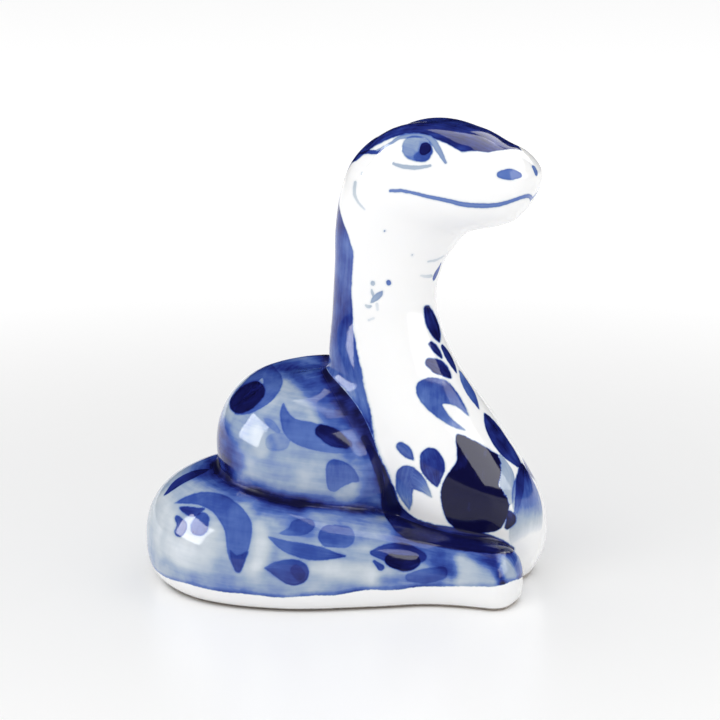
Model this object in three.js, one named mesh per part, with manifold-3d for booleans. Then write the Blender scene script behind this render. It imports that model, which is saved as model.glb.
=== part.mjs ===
// Porcelain figurine of a coiled snake, cast in one piece.
// A thick lower coil lies flat on the ground and ends in a blunt tail at the front right.
// A second coil lies on it, and the chest leans against both before the neck rises to the head.
// Millimetres, +Z up, the painted front looks towards -Y, origin under the middle of the underside.

import * as THREE from 'three';
import { ParametricGeometry } from 'three/addons/geometries/ParametricGeometry.js';
import { mergeVertices } from 'three/addons/utils/BufferGeometryUtils.js';
import Module from 'manifold-3d';

// Lower coil, from under the chest round the back, the left side and the front to the tail.
// x and y place the widest level of the body, level is its height above the ground,
// half is half of the width there, above and below are the heights over and under that level.
const lowerCoil = [
  { x: 16.0, y: 3.0, level: 5.6, half: 6.5, above: 6.2, below: 5.8 },
  { x: 11.5, y: 10.0, level: 6.0, half: 7.0, above: 7.0, below: 6.2 },
  { x: 1.0, y: 12.0, level: 6.4, half: 7.4, above: 7.8, below: 6.7 },
  { x: -10.5, y: 8.5, level: 6.4, half: 8.0, above: 8.2, below: 6.9 },
  { x: -17.0, y: 0.5, level: 6.2, half: 8.1, above: 8.0, below: 6.7 },
  { x: -14.5, y: -7.3, level: 5.8, half: 7.9, above: 7.7, below: 6.4 },
  { x: -7.0, y: -10.7, level: 5.2, half: 7.2, above: 7.4, below: 5.9 },
  { x: 2.0, y: -10.6, level: 4.6, half: 6.2, above: 6.2, below: 5.3 },
  { x: 9.0, y: -10.1, level: 4.0, half: 5.3, above: 5.0, below: 4.7 },
  { x: 14.6, y: -11.3, level: 3.6, half: 4.6, above: 4.2, below: 4.3 },
  { x: 20.9, y: -13.9, level: 3.2, half: 4.0, above: 3.6, below: 4.0 },
];

// Upper coil, from behind the chest round the back and the left side to the front.
const upperCoil = [
  { x: 12.6, y: 2.0, level: 11.4, half: 5.4, above: 6.0, below: 6.0 },
  { x: 10.8, y: 7.0, level: 13.4, half: 6.0, above: 7.4, below: 7.4 },
  { x: 5.8, y: 9.8, level: 15.6, half: 6.6, above: 8.6, below: 8.6 },
  { x: -1.4, y: 9.6, level: 17.0, half: 7.2, above: 9.2, below: 9.2 },
  { x: -7.6, y: 5.4, level: 17.6, half: 7.6, above: 8.6, below: 8.6 },
  { x: -8.8, y: -1.5, level: 17.2, half: 7.4, above: 8.3, below: 8.4 },
  { x: -6.2, y: -5.6, level: 16.4, half: 6.8, above: 8.5, below: 8.6 },
  { x: -0.6, y: -5.2, level: 15.0, half: 6.1, above: 8.4, below: 7.6 },
  { x: 4.0, y: -2.0, level: 13.0, half: 5.2, above: 7.0, below: 6.6 },
];

// Chest, neck and head, cut across from the ground to the tip of the snout.
// back and belly are the two ends of each cut, as distance forward of the neck and height,
// half is half of the width, turn is how far the front is turned towards the viewer in degrees,
// and aside is how far the cut is shifted towards the viewer.
const neckPlace = { x: 5.0, y: 0.0 };
const risingBody = [
  { back: [0.0, -4.0], belly: [14.0, -4.0], half: 6.3, turn: 12, aside: -5.0 },
  { back: [-1.5, 1.0], belly: [18.0, 0.5], half: 8.3, turn: 12, aside: -4.0 },
  { back: [-1.6, 7.0], belly: [20.0, 6.0], half: 9.4, turn: 14, aside: -1.6 },
  { back: [-2.4, 13.5], belly: [19.3, 12.5], half: 9.4, turn: 15, aside: 1.0 },
  { back: [-4.6, 20.0], belly: [14.5, 20.5], half: 8.4, turn: 15, aside: 1.8 },
  { back: [-6.9, 27.0], belly: [8.7, 28.2], half: 6.9, turn: 14, aside: 0.9 },
  { back: [-6.8, 34.0], belly: [6.1, 35.0], half: 5.9, turn: 14, aside: 0.0 },
  { back: [-6.5, 40.0], belly: [6.9, 39.8], half: 5.9, turn: 15, aside: 0.0 },
  { back: [-6.4, 44.5], belly: [8.4, 42.2], half: 6.2, turn: 17, aside: 0.0 },
  { back: [-5.6, 49.3], belly: [9.8, 43.9], half: 6.8, turn: 19, aside: 0.0 },
  { back: [-4.0, 53.0], belly: [11.2, 44.7], half: 7.4, turn: 21, aside: 0.0 },
  { back: [-1.0, 55.8], belly: [12.8, 45.1], half: 7.6, turn: 22, aside: 0.0 },
  { back: [3.0, 57.4], belly: [14.2, 45.4], half: 7.5, turn: 22, aside: 0.0 },
  { back: [7.5, 57.9], belly: [15.5, 45.8], half: 7.0, turn: 22, aside: 0.0 },
  { back: [11.6, 57.3], belly: [16.6, 46.3], half: 6.3, turn: 22, aside: 0.0 },
  { back: [15.0, 55.8], belly: [17.3, 47.0], half: 5.4, turn: 22, aside: 0.0 },
  { back: [17.5, 54.8], belly: [18.3, 48.1], half: 4.7, turn: 22, aside: 0.0 },
  { back: [19.6, 53.7], belly: [19.6, 49.6], half: 4.0, turn: 22, aside: 0.0 },
];

// Rounding of the sections: 2 is an ellipse, more is squarer.
const domePower = 2.05;
const footPower = 3.2;
const neckPower = 2.15;

// Share of a body's length over which its end is rounded: a coil's two ends, and the snout.
const coilEndRun = 0.04;
const snoutRun = 0.085;

// Brow over each eye, a low egg let into the head.
const brow = { forward: 5.6, apart: 7.0, height: 54.0, long: 5.6, wide: 3.3, high: 3.6, turn: 22 };

// Eggs that close the middle of the two coils, as the casting does.
const fillings = [
  { x: -1.5, y: 2.0, height: 7.0, halfX: 14.5, halfY: 11.0, halfZ: 14.5 },
  { x: -2.0, y: -0.5, height: 16.0, halfX: 12.2, halfY: 10.6, halfZ: 10.6 },
];

// Fineness of the faceted surface, and the length under which an edge is closed up.
const weldSize = 0.12;
const lowerSteps = { along: 60, around: 30 };
const upperSteps = { along: 44, around: 30 };
const risingSteps = { along: 64, around: 30 };

const { Manifold, Mesh } = await loadSolidLibrary();

async function loadSolidLibrary() {
  const library = await Module();
  library.setup();
  return library;
}

// Smooth curve through evenly spaced values, read at t from 0 to 1.
function between(values, t) {
  const place = t * (values.length - 1);
  const before = Math.min(Math.floor(place), values.length - 2);
  const at = (i) => values[THREE.MathUtils.clamp(i, 0, values.length - 1)];
  const w = place - before;
  const slopeIn = (at(before + 1) - at(before - 1)) / 2;
  const slopeOut = (at(before + 2) - at(before)) / 2;
  const step = at(before + 1) - at(before);
  return at(before) + slopeIn * w + (3 * step - 2 * slopeIn - slopeOut) * w * w
    + (slopeIn + slopeOut - 2 * step) * w * w * w;
}

// Cosine or sine raised to the section's power, with its sign kept.
function squared(value, power) {
  return Math.sign(value) * Math.abs(value) ** (2 / power);
}

// Size of a cut near a rounded end, from 0 at the end to 1 at the full body.
function roundedEnd(fromEnd, run) {
  const inside = Math.min(fromEnd / run, 1);
  return Math.sqrt(1 - (1 - inside) ** 2);
}

// Point of a lying coil: an egg-shaped section square to the way that the coil runs.
function coilPoint(stations, lowPower, t, angle, target) {
  const read = (name, place) => between(stations.map((station) => station[name]), place);
  const ahead = Math.min(t + 0.001, 1);
  const behind = Math.max(t - 0.001, 0);
  const way = new THREE.Vector2(read('x', ahead) - read('x', behind), read('y', ahead) - read('y', behind));
  way.normalize();
  const size = roundedEnd(Math.min(t, 1 - t), coilEndRun);
  const power = Math.sin(angle) > 0 ? domePower : lowPower;
  const out = size * read('half', t) * squared(Math.cos(angle), power);
  const tall = read(Math.sin(angle) > 0 ? 'above' : 'below', t);
  const up = size * tall * squared(Math.sin(angle), power);
  target.set(read('x', t) - out * way.y, read('y', t) + out * way.x, read('level', t) + up);
}

// Point of the rising body: a section between its back and belly points, turned about the neck.
function risingPoint(t, angle, target) {
  const read = (pick) => between(risingBody.map(pick), t);
  const back = [read((cut) => cut.back[0]), read((cut) => cut.back[1])];
  const belly = [read((cut) => cut.belly[0]), read((cut) => cut.belly[1])];
  const size = roundedEnd(1 - t, snoutRun);
  const across = size * squared(Math.sin(angle), neckPower) / 2;
  const forward = (back[0] + belly[0]) / 2 + across * (back[0] - belly[0]);
  const height = (back[1] + belly[1]) / 2 + across * (back[1] - belly[1]);
  const out = size * read((cut) => cut.half) * squared(Math.cos(angle), neckPower);
  const sideways = out - read((cut) => cut.aside);
  const turn = THREE.MathUtils.degToRad(read((cut) => cut.turn));
  target.set(
    neckPlace.x + forward * Math.cos(turn) + sideways * Math.sin(turn),
    neckPlace.y - forward * Math.sin(turn) + sideways * Math.cos(turn),
    height,
  );
}

// Closed skin of a body: cuts along it, closer together at its ends, with a point at each end.
function skin(pointAt, steps) {
  const surface = (u, v, target) => {
    const t = THREE.MathUtils.clamp((1 - Math.cos(Math.PI * v)) / 4 + v / 2, 0, 1);
    if (v === 0 || v === 1) {
      const opposite = new THREE.Vector3();
      pointAt(t, 0, target);
      pointAt(t, Math.PI, opposite);
      target.lerp(opposite, 0.5);
    } else {
      pointAt(t, 2 * Math.PI * (u % 1), target);
    }
  };
  return new ParametricGeometry(surface, steps.around, steps.along);
}

// Closed mesh as a solid: corners joined, and faces without an area left out.
function solidFrom(geometry) {
  geometry.deleteAttribute('normal');
  geometry.deleteAttribute('uv');
  const joined = mergeVertices(geometry, 1e-4);
  const corners = joined.index.array;
  const kept = [];
  for (let i = 0; i < corners.length; i += 3) {
    const [a, b, c] = [corners[i], corners[i + 1], corners[i + 2]];
    if (a !== b && b !== c && c !== a) {
      kept.push(a, b, c);
    }
  }
  const solid = new Manifold(new Mesh({
    numProp: 3,
    vertProperties: new Float32Array(joined.attributes.position.array),
    triVerts: new Uint32Array(kept),
  }));
  return solid;
}

function makeBrow(side) {
  const turn = -THREE.MathUtils.degToRad(brow.turn);
  const egg = new THREE.SphereGeometry(1, 20, 14);
  egg.scale(brow.long, brow.wide, brow.high);
  egg.translate(brow.forward, side * brow.apart / 2, brow.height);
  egg.rotateZ(turn);
  egg.translate(neckPlace.x, neckPlace.y, 0);
  return solidFrom(egg);
}

function makeFilling(filling) {
  const egg = new THREE.SphereGeometry(1, 24, 14);
  egg.rotateX(Math.PI / 2);
  egg.scale(filling.halfX, filling.halfY, filling.halfZ);
  egg.translate(filling.x, filling.y, filling.height);
  return solidFrom(egg);
}

// Everything under the ground plane, taken off to leave the flat underside.
function makeGroundCut() {
  const size = 100;
  const block = new THREE.BoxGeometry(size, size, size);
  block.translate(0, 0, -size / 2);
  return solidFrom(block);
}

function makeFigurine() {
  const lower = skin((t, angle, target) => coilPoint(lowerCoil, footPower, t, angle, target), lowerSteps);
  const upper = skin((t, angle, target) => coilPoint(upperCoil, domePower, t, angle, target), upperSteps);
  const bodies = [solidFrom(lower), solidFrom(upper), solidFrom(skin(risingPoint, risingSteps))];
  const eggs = [...fillings.map(makeFilling), makeBrow(-1), makeBrow(1)];
  const whole = [...bodies, ...eggs].reduce((joined, next) => joined.add(next));
  return whole.subtract(makeGroundCut());
}

// Corners joined by an edge shorter than the weld size become one corner.
function weldedCorners(positions, corners) {
  const stands = Array.from({ length: positions.length / 3 }, (_, i) => i);
  const leader = (i) => (stands[i] === i ? i : leader(stands[i]));
  const point = (i) => new THREE.Vector3().fromArray(positions, 3 * i);
  for (let i = 0; i < corners.length; i += 1) {
    const next = i % 3 === 2 ? i - 2 : i + 1;
    if (point(corners[i]).distanceTo(point(corners[next])) < weldSize) {
      stands[leader(corners[i])] = leader(corners[next]);
    }
  }
  return corners.map((corner) => leader(corner));
}

// Faces that still have an area; two faces back to back on the same corners cancel out.
function liveFaces(corners) {
  const faces = new Map();
  for (let i = 0; i < corners.length; i += 3) {
    const face = Array.from(corners.slice(i, i + 3));
    const name = [...face].sort((a, b) => a - b).join(' ');
    if (new Set(face).size < 3) {
      continue;
    }
    if (faces.has(name)) {
      faces.delete(name);
    } else {
      faces.set(name, face);
    }
  }
  return [...faces.values()].flat();
}

// Solid back into a mesh geometry, moved so that the origin is under its middle.
function geometryFrom(solid) {
  const mesh = solid.getMesh();
  const welded = weldedCorners(mesh.vertProperties, mesh.triVerts);
  const geometry = new THREE.BufferGeometry();
  geometry.setAttribute('position', new THREE.BufferAttribute(new Float32Array(mesh.vertProperties), 3));
  geometry.setIndex(liveFaces(welded));
  geometry.computeBoundingBox();
  const centre = geometry.boundingBox.getCenter(new THREE.Vector3());
  geometry.translate(-centre.x, -centre.y, 0);
  geometry.computeVertexNormals();
  return geometry;
}

const porcelain = new THREE.MeshStandardMaterial({ color: 0xe9edf5, roughness: 0.12, metalness: 0 });

const snake = new THREE.Mesh(geometryFrom(makeFigurine()), porcelain);
snake.name = 'snake_figurine';

const group = new THREE.Group();
group.add(snake);

export default group;
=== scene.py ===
import math
import bpy
import numpy as np
import openvdb as vdb
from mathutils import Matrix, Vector


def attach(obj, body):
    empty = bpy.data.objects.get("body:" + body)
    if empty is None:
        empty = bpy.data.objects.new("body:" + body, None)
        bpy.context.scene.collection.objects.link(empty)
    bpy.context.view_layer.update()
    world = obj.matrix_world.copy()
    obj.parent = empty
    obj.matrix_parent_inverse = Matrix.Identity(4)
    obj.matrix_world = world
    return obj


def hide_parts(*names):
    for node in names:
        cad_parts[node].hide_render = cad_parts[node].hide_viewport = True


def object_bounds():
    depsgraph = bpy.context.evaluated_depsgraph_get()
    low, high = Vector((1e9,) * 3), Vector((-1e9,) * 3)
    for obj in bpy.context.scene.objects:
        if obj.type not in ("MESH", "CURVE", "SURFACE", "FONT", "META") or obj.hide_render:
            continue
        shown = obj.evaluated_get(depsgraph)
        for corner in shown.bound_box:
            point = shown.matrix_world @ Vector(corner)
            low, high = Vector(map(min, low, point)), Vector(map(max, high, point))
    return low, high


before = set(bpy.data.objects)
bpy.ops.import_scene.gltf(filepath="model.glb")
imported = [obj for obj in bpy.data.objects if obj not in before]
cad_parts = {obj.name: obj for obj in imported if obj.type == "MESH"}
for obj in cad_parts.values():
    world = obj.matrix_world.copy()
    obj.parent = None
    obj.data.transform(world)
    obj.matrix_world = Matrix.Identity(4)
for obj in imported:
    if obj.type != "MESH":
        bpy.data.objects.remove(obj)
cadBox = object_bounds()  # the CAD box, before any new piece
millimetre = 0.001

# the shape, all in millimetres

snakeForm = {
    # coils: x, y, level of the widest part, half width, height above and below that level
    "lower": [
        (16.0, 3.0, 5.6, 6.5, 6.2, 5.8), (11.5, 10.0, 6.0, 7.0, 7.0, 6.2), (1.0, 12.0, 6.4, 7.4, 7.8, 6.7),
        (-10.5, 8.5, 6.4, 8.0, 8.2, 6.9), (-17.0, 0.5, 6.2, 8.1, 8.0, 6.7), (-14.5, -7.3, 5.8, 7.9, 7.7, 6.4),
        (-7.0, -10.7, 5.2, 7.2, 7.4, 5.9), (2.0, -10.6, 4.6, 6.2, 6.2, 5.3), (9.0, -10.1, 4.0, 5.3, 5.0, 4.7),
        (14.6, -11.3, 3.6, 4.6, 4.2, 4.3), (20.9, -13.9, 3.2, 4.0, 3.6, 4.0)],
    "upper": [
        (12.6, 2.0, 11.4, 5.4, 6.0, 6.0), (10.8, 7.0, 13.4, 6.0, 7.4, 7.4), (5.8, 9.8, 15.6, 6.6, 8.6, 8.6),
        (-1.4, 9.6, 17.0, 7.2, 9.2, 9.2), (-7.6, 5.4, 17.6, 7.6, 8.6, 8.6), (-8.8, -1.5, 17.2, 7.4, 8.3, 8.4),
        (-6.2, -5.6, 16.4, 6.8, 8.5, 8.6), (-0.6, -5.2, 15.0, 6.1, 8.4, 7.6),
        (4.0, -2.0, 13.0, 5.2, 7.0, 6.6)],
    # chest, neck and head: back point forward and high, belly point forward and high, half width,
    # turn, shift aside
    "rising": [
        (0.0, -4.0, 14.0, -4.0, 6.3, 12, -5.0), (-1.5, 1.0, 18.0, 0.5, 8.3, 12, -4.0),
        (-1.6, 7.0, 20.0, 6.0, 9.4, 14, -1.6), (-2.4, 13.5, 19.3, 12.5, 9.4, 15, 1.0),
        (-4.6, 20.0, 14.5, 20.5, 8.4, 15, 1.8), (-6.9, 27.0, 8.7, 28.2, 6.9, 14, 0.9),
        (-6.8, 34.0, 6.1, 35.0, 5.9, 14, 0.0), (-6.5, 40.0, 6.9, 39.8, 5.9, 15, 0.0),
        (-6.4, 44.5, 8.4, 42.2, 6.2, 17, 0.0), (-5.6, 49.3, 9.8, 43.9, 6.8, 19, 0.0),
        (-4.0, 53.0, 11.2, 44.7, 7.4, 21, 0.0), (-1.0, 55.8, 12.8, 45.1, 7.6, 22, 0.0),
        (3.0, 57.4, 14.2, 45.4, 7.5, 22, 0.0), (7.5, 57.9, 15.5, 45.8, 7.0, 22, 0.0),
        (11.6, 57.3, 16.6, 46.3, 6.3, 22, 0.0), (15.0, 55.8, 17.3, 47.0, 5.4, 22, 0.0),
        (17.5, 54.8, 18.3, 48.1, 4.7, 22, 0.0), (19.6, 53.7, 19.6, 49.6, 4.0, 22, 0.0)],
    "neckPlace": (5.0, 0.0),
    # rounding of the cuts above and below: 2 is an ellipse, more is squarer
    "powers": {"lower": (2.05, 3.2), "upper": (2.05, 2.05), "rising": (2.15, 2.15)},
    # share of the length over which the start and the end are rounded, and how many cuts
    "ends": {"lower": (0.04, 0.04, 215), "upper": (0.04, 0.04, 122), "rising": (0.0, 0.085, 316)},
    # middle and half sizes of the eggs that close the middle of the coils
    "fillings": {"lower": ((-1.5, 2.0, 7.0), (14.5, 11.0, 14.5)),
                 "upper": ((-2.0, -0.5, 16.0), (12.2, 10.6, 10.6))},
    "brow": {"forward": 5.6, "side": 3.5, "height": 54.0, "half": (5.6, 3.3, 3.6), "turn": 22.0},
    "coilBlend": 1.3,  # how softly the glaze bridges two bodies
    "bodyBlend": 1.6,
    "browBlend": 1.8,
    "footBlend": 0.5,
    "cutSteps": 96,
}
neckBase = np.array([*snakeForm["neckPlace"], 0.0])
skyward = np.array([0.0, 0.0, 1.0])
bodyNames = ("lower", "upper", "rising")

# the block of points on which the distances to the surface are kept
lattice = {"step": 0.3, "start": (-95, -74, -8), "count": (191, 149, 213), "band": 10}
latticeStep = lattice["step"]
latticeLow = np.array(lattice["start"]) * latticeStep
latticeLast = np.array(lattice["count"]) - 1
latticeAxes = [latticeLow[i] + latticeStep * np.arange(count, dtype=np.float32)
               for i, count in enumerate(lattice["count"])]


def unit(vectors):
    # each row divided by its length
    return vectors / np.linalg.norm(vectors, axis=1, keepdims=True)


def cosSin(degrees):
    return math.cos(math.radians(degrees)), math.sin(math.radians(degrees))


def throughStations(stations, t):
    # smooth curve through evenly spaced rows: a cubic from row to row,
    # whose slope at a row is half of the step from the row before to the row after
    rows = np.asarray(stations, float)
    last = len(rows) - 1
    before = np.clip(np.floor(t * last).astype(int), 0, last - 1)
    w = (t * last - before)[:, None]
    here = rows[before]
    there = rows[before + 1]
    slopeIn = (there - rows[np.maximum(before - 1, 0)]) / 2
    slopeOut = (rows[np.minimum(before + 2, last)] - here) / 2
    step = there - here
    return (here + slopeIn * w + (3 * step - 2 * slopeIn - slopeOut) * w**2
            + (slopeIn + slopeOut - 2 * step) * w**3)


def squared(value, power):
    # cosine or sine raised to the section's power, its sign kept
    return np.sign(value) * np.abs(value) ** (2 / power)


def roundedEnd(fromEnd, run):
    # size of a cut near a round end: the height of a quarter circle
    return np.sqrt(1 - (1 - np.minimum(fromEnd / run, 1)) ** 2) if run else np.ones(len(fromEnd))


def cutsOf(body, t):
    # the cuts of a body at places t from 0 to 1: middle, directions to its side and its back,
    # half width, and half height towards the back and away from it
    cut = throughStations(snakeForm[body], t)
    if body == "rising":
        turn = np.radians(cut[:, 5])
        ahead = np.stack([np.cos(turn), -np.sin(turn), 0 * turn], 1)
        side = np.stack([np.sin(turn), np.cos(turn), 0 * turn], 1)
        spine = (cut[:, 0:1] - cut[:, 2:3]) * ahead + (cut[:, 1:2] - cut[:, 3:4]) * skyward
        middle = neckBase + (cut[:, 0:1] + cut[:, 2:3]) / 2 * ahead
        middle = middle + (cut[:, 1:2] + cut[:, 3:4]) / 2 * skyward
        half = np.linalg.norm(spine, axis=1) / 2
        return middle - cut[:, 6:7] * side, side, unit(spine), cut[:, 4], half, half
    after = throughStations(snakeForm[body], np.minimum(t + 0.001, 1))
    before = throughStations(snakeForm[body], np.maximum(t - 0.001, 0))
    way = unit((after - before)[:, :2])
    side = np.stack([-way[:, 1], way[:, 0], 0 * t], 1)
    return cut[:, :3], side, np.broadcast_to(skyward, side.shape), cut[:, 3], cut[:, 4], cut[:, 5]


def ringsOf(body):
    # egg-shaped cuts, closer together at both ends of the body:
    # aside = half width * cos^(2/p), towards the back = half height * sin^(2/p)
    first, last, count = snakeForm["ends"][body]
    v = np.linspace(0, 1, count)
    t = (1 - np.cos(np.pi * v)) / 4 + v / 2
    middle, side, spine, wide, high, low = cutsOf(body, t)
    a = np.linspace(0, 2 * np.pi, snakeForm["cutSteps"], endpoint=False)
    power = np.where(np.sin(a) > 0, *snakeForm["powers"][body])
    size = (roundedEnd(t, first) * roundedEnd(1 - t, last))[:, None]
    aside = size * wide[:, None] * squared(np.cos(a), power)
    back = size * np.where(np.sin(a) > 0, high[:, None], low[:, None]) * squared(np.sin(a), power)
    return middle[:, None] + aside[:, :, None] * side[:, None] + back[:, :, None] * spine[:, None]


def closedSkin(rings):
    # rings joined by triangles, and a fan from the middle of the first and last ring
    count, around = rings.shape[:2]
    half = around // 2
    poles = (rings[[0, -1], 0] + rings[[0, -1], half]) / 2
    points = np.concatenate([rings[1:-1].reshape(-1, 3), poles])
    row = np.arange(count - 2)[:, None] * around
    here = np.arange(around)[None]
    after = (here + 1) % around
    a, b = (row[:-1] + here).ravel(), (row[:-1] + after).ravel()
    c, d = (row[1:] + after).ravel(), (row[1:] + here).ravel()
    first, last = len(points) - 2, len(points) - 1
    top = row[-1]
    faces = [np.stack([a, b, c], 1), np.stack([a, c, d], 1),
             np.stack([np.full(around, first), after[0], here[0]], 1),
             np.stack([np.full(around, last), top + here[0], top + after[0]], 1)]
    return points, np.concatenate(faces)


def distancesTo(skin):
    # distance to a closed skin at every lattice point, negative inside
    points, faces = skin
    grid = vdb.FloatGrid.createLevelSetFromPolygons(
        np.ascontiguousarray(points, np.float32), triangles=np.ascontiguousarray(faces, np.uint32),
        transform=vdb.createLinearTransform(voxelSize=latticeStep), halfWidth=float(lattice["band"]))
    kept = np.zeros(lattice["count"], np.float32)
    grid.copyToArray(kept, ijk=lattice["start"])
    return kept


def eggDistances(middle, half, turn=0.0):
    # distance to an egg, near enough close to it: k * (k - 1) / g with k = |p / half|, g = |p / half^2|
    x, y, z = np.meshgrid(*[latticeAxes[i] - middle[i] for i in range(3)], indexing="ij", sparse=True)
    c, s = cosSin(turn)
    along, aside = x * c - y * s, x * s + y * c
    k = np.sqrt((along / half[0]) ** 2 + (aside / half[1]) ** 2 + (z / half[2]) ** 2)
    g = np.sqrt((along / half[0] ** 2) ** 2 + (aside / half[1] ** 2) ** 2 + (z / half[2] ** 2) ** 2)
    limit = lattice["band"] * latticeStep
    return np.clip(k * (k - 1) / np.maximum(g, 1e-6), -limit, limit).astype(np.float32)


def softUnion(a, b, softness):
    # the smaller distance, less a bump of softness / 4 where the two are equal
    h = np.clip(0.5 + 0.5 * (b - a) / softness, 0, 1)
    return b + (a - b) * h - softness * h * (1 - h)


def buildBodies():
    # the three bodies as distance blocks, all moved so that the whole stands on the CAD box's middle
    rings = {body: ringsOf(body) for body in bodyNames}
    every = np.concatenate([r.reshape(-1, 3) for r in rings.values()])
    every = every[every[:, 2] > 0]
    middle = (every.min(axis=0) + every.max(axis=0)) / 2
    boxMiddle = (np.array(cadBox[0]) + np.array(cadBox[1])) / 2 / millimetre
    shift = (boxMiddle - middle) * [1, 1, 0]
    fields = {body: distancesTo(closedSkin(r + shift)) for body, r in rings.items()}
    for body, (place, half) in snakeForm["fillings"].items():
        egg = eggDistances(np.array(place) + shift, half)
        fields[body] = softUnion(fields[body], egg, snakeForm["coilBlend"])
    brow = snakeForm["brow"]
    c, s = cosSin(brow["turn"])
    for side in (-brow["side"], brow["side"]):
        place = neckBase + [brow["forward"] * c + side * s, side * c - brow["forward"] * s, brow["height"]]
        egg = eggDistances(place + shift, brow["half"], brow["turn"])
        fields["rising"] = softUnion(fields["rising"], egg, snakeForm["browBlend"])
    print("bodies: shift", shift.round(3))
    return fields, shift


def joinBodies(fields):
    # coils joined, then the rising body, then everything under the ground taken off
    whole = softUnion(fields["lower"], fields["upper"], snakeForm["coilBlend"])
    whole = softUnion(whole, fields["rising"], snakeForm["bodyBlend"])
    above = np.broadcast_to(latticeAxes[2][None, None], whole.shape)
    return -softUnion(-whole, above, snakeForm["footBlend"])


def roughly(field, points):
    # distance at each point, mixed from the eight lattice points round it
    place = np.clip((points - latticeLow) / latticeStep, 0, latticeLast - 1.001)
    base = place.astype(int)
    w = place - base
    value = 0
    for i, j, k in np.ndindex(2, 2, 2):
        share = abs(1 - i - w[:, 0]) * abs(1 - j - w[:, 1]) * abs(1 - k - w[:, 2])
        value = value + share * field[base[:, 0] + i, base[:, 1] + j, base[:, 2] + k]
    return value


def smoothly(field, points):
    # distance and its slope at each point from the cubic B-spline over 64 lattice points
    place = np.clip((points - latticeLow) / latticeStep, 1, latticeLast - 2.001)
    base = place.astype(int)
    w = place - base
    share = [(1 - w) ** 3 / 6, (3 * w**3 - 6 * w**2 + 4) / 6,
             (-3 * w**3 + 3 * w**2 + 3 * w + 1) / 6, w**3 / 6]
    rate = [-(1 - w) ** 2 / 2, (3 * w**2 - 4 * w) / 2, (-3 * w**2 + 2 * w + 1) / 2, w**2 / 2]
    value = np.zeros(len(points))
    slope = np.zeros((len(points), 3))
    for i, j, k in np.ndindex(4, 4, 4):
        kept = field[base[:, 0] + i - 1, base[:, 1] + j - 1, base[:, 2] + k - 1]
        value += kept * share[i][:, 0] * share[j][:, 1] * share[k][:, 2]
        slope[:, 0] += kept * rate[i][:, 0] * share[j][:, 1] * share[k][:, 2]
        slope[:, 1] += kept * share[i][:, 0] * rate[j][:, 1] * share[k][:, 2]
        slope[:, 2] += kept * share[i][:, 0] * share[j][:, 1] * rate[k][:, 2]
    return value, slope / latticeStep


def ontoSurface(field, points, rounds=4):
    # each point slid down the slope of the distance until the distance is nought
    for _ in range(rounds):
        value, slope = smoothly(field, points)
        points = points - slope * (value / np.maximum((slope**2).sum(axis=1), 0.05))[:, None]
    return points


# where the painted surface is looked at from

photoView = {"target": (1.7, 0.0, 27.5), "elevation": 12.0, "distance": 340.0, "lens": 136.0, "sensor": 36.0}
viewTarget = np.array(photoView["target"])

# turn round the object and elevation: the photograph's view, then views for the sides that it doesn't show
views = {"front": (0.0, photoView["elevation"]), "right": (90.0, 10.0), "behind": (180.0, 14.0),
         "left": (262.0, 12.0)}
sightLine = {
    "start": 32.0,  # mm before the target from which the surface is sought
    "steps": 260,
    "longest": 0.6,
    "probes": (0.7, 1.3, 2.1, 3.2, 4.6, 6.4, 8.8, 12.0, 16.0, 21.0, 27.0, 34.0),  # mm on the way to the eye
    "roundness": 5.0,  # mm of surface over which the view from the side turns to one from behind
}
placing = {
    "cuts": 181,
    "outline": 1.25,  # a point further out than this, in half sizes of a cut, is outside of it
    "cost": 12.0,  # mm added to the distance for each half size outside
}


def viewAxes(turn, elevation):
    # right, up and backward directions of a view; turn 0 looks along +Y
    a, e = math.radians(turn), math.radians(elevation)
    back = np.array([math.sin(a) * math.cos(e), -math.cos(a) * math.cos(e), math.sin(e)])
    right = np.array([math.cos(a), math.sin(a), 0.0])
    return right, np.cross(back, right), back


def onPicture(points, outward):
    # place of each point on the camera's picture plane through the target, in mm, and how far it is from
    # being hidden: the least distance of its sight line from the surface, or the roundness times the
    # cosine between its outward direction and the eye
    right, up, back = viewAxes(*views["front"])
    rel = points - viewTarget
    away = photoView["distance"] - rel @ back
    toEye = unit(viewTarget + back * photoView["distance"] - points)
    clear = (outward * toEye).sum(axis=1) * sightLine["roundness"]
    for far in sightLine["probes"]:
        clear = np.minimum(clear, roughly(wholeField, points + toEye * far))
    return np.stack([rel @ right, rel @ up], 1) * (photoView["distance"] / away)[:, None], clear


def seenAt(places, view):
    # the point of the surface that is seen at a place of the view's picture plane, found in steps down the
    # sight line, each as long as the distance that is left; only the front is seen in perspective
    right, up, back = viewAxes(*views[view])
    points = viewTarget + places[:, :1] * right + places[:, 1:2] * up
    ray = np.broadcast_to(-back, points.shape)
    if view == "front":
        ray = points - viewTarget - back * photoView["distance"]
    ray = unit(ray)
    points = points - ray * sightLine["start"]
    for _ in range(sightLine["steps"]):
        points = points + ray * np.minimum(roughly(wholeField, points), sightLine["longest"])[:, None]
    return points


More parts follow.
